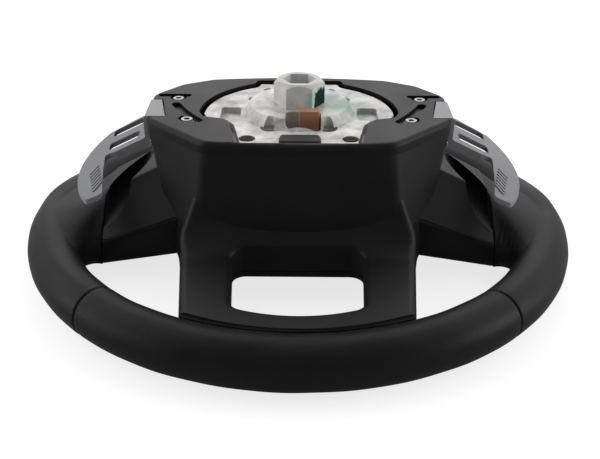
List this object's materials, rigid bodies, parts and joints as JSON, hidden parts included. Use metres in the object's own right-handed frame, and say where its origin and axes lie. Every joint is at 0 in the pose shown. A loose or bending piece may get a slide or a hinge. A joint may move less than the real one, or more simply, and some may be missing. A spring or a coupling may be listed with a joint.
{
  "type": "car steering wheel",
  "caption": "Leather-rimmed car steering wheel with side and lower spokes, hexagonal column hub, shift paddles, thumb switches and a driver's airbag that presses as the horn.",
  "frame": {"origin": "on the steering axis, in the plane that the rim's driver side rests on", "axes": "+Z along the steering axis from the driver's face to the column, -Y towards six o'clock, +X at the driver's left hand"},
  "size_m": [0.3854, 0.3827, 0.127],
  "materials": {
    "leather": "matte, fine grain",
    "foam": "matte moulded foam",
    "trim": "matte, fine grain",
    "paddle": "satin",
    "casting": "as cast",
    "insert": "machined and worn",
    "steel": "bright zinc",
    "black_plastic": "matte",
    "connector": "satin",
    "button": "satin",
    "board": "satin",
    "cushion": "matte"
  },
  "bodies": {
    "wheel": {"armature": "casting", "hub_insert": "insert", "rim_foam": "foam", "leather_upper": "leather", "leather_lower": "leather", "back_cover": "trim", "front_bezel": "trim", "harness_connector": "connector", "control_module": "black_plastic", "paddle_screws": "steel", "horn_springs": "steel", "leather_left": "leather", "leather_right": "leather", "paddle_bracket_left": "black_plastic", "paddle_bracket_right": "black_plastic", "paddle_pin_left": "steel", "paddle_pin_right": "steel", "paddle_spring_left": "steel", "paddle_spring_right": "steel", "paddle_switch_left": "black_plastic", "paddle_switch_right": "black_plastic", "switch_panel_left": "trim", "switch_panel_right": "trim", "switch_case_left": "black_plastic", "switch_case_right": "black_plastic", "switch_board_left": "board", "switch_board_right": "board"},
    "horn_pad": {"airbag_cover": "trim", "airbag_cushion": "cushion", "airbag_tray": "black_plastic", "inflator": "steel", "inflator_nuts": "steel"},
    "paddle_left": {"paddle_left": "paddle"},
    "paddle_right": {"paddle_right": "paddle"},
    "rocker_left": {"rocker_left": "button"},
    "rocker_right": {"rocker_right": "button"},
    "button_upper_left": {"button_upper_left": "button"},
    "button_upper_right": {"button_upper_right": "button"},
    "button_middle_left": {"button_middle_left": "button"},
    "button_middle_right": {"button_middle_right": "button"},
    "button_lower_left": {"button_lower_left": "button"},
    "button_lower_right": {"button_lower_right": "button"}
  },
  "joints": [
    {"name": "horn_press", "type": "slide", "parent": "wheel", "child": "horn_pad", "axis": [0, 0, 1], "range_m": [0, 0.0025], "stiffness_N_per_m": 6000, "springref_m": -0.003, "deforming": ["horn_springs"]},
    {"name": "paddle_left_pull", "type": "hinge", "parent": "wheel", "child": "paddle_left", "pos_m": [0.097, 0.001, 0.097], "axis": [0, 1, 0], "range_deg": [0, 5], "stiffness_Nm_per_rad": 2, "springref_deg": -2.86},
    {"name": "rocker_left_tilt", "type": "hinge", "parent": "wheel", "child": "rocker_left", "pos_m": [0.097, -0.0035, 0.014], "axis": [1, 0, 0], "range_deg": [-4, 4], "stiffness_Nm_per_rad": 0.3},
    {"name": "button_upper_left_press", "type": "slide", "parent": "wheel", "child": "button_upper_left", "axis": [0, 0, 1], "range_m": [0, 0.0012], "stiffness_N_per_m": 500, "springref_m": -0.002},
    {"name": "button_middle_left_press", "type": "slide", "parent": "wheel", "child": "button_middle_left", "axis": [0, 0, 1], "range_m": [0, 0.0012], "stiffness_N_per_m": 500, "springref_m": -0.002},
    {"name": "button_lower_left_press", "type": "slide", "parent": "wheel", "child": "button_lower_left", "axis": [0, 0, 1], "range_m": [0, 0.0012], "stiffness_N_per_m": 500, "springref_m": -0.002},
    {"name": "paddle_right_pull", "type": "hinge", "parent": "wheel", "child": "paddle_right", "pos_m": [-0.097, 0.001, 0.097], "axis": [0, -1, 0], "range_deg": [0, 5], "stiffness_Nm_per_rad": 2, "springref_deg": -2.86},
    {"name": "rocker_right_tilt", "type": "hinge", "parent": "wheel", "child": "rocker_right", "pos_m": [-0.097, -0.0035, 0.014], "axis": [1, 0, 0], "range_deg": [-4, 4], "stiffness_Nm_per_rad": 0.3},
    {"name": "button_upper_right_press", "type": "slide", "parent": "wheel", "child": "button_upper_right", "axis": [0, 0, 1], "range_m": [0, 0.0012], "stiffness_N_per_m": 500, "springref_m": -0.002},
    {"name": "button_middle_right_press", "type": "slide", "parent": "wheel", "child": "button_middle_right", "axis": [0, 0, 1], "range_m": [0, 0.0012], "stiffness_N_per_m": 500, "springref_m": -0.002},
    {"name": "button_lower_right_press", "type": "slide", "parent": "wheel", "child": "button_lower_right", "axis": [0, 0, 1], "range_m": [0, 0.0012], "stiffness_N_per_m": 500, "springref_m": -0.002}
  ]
}
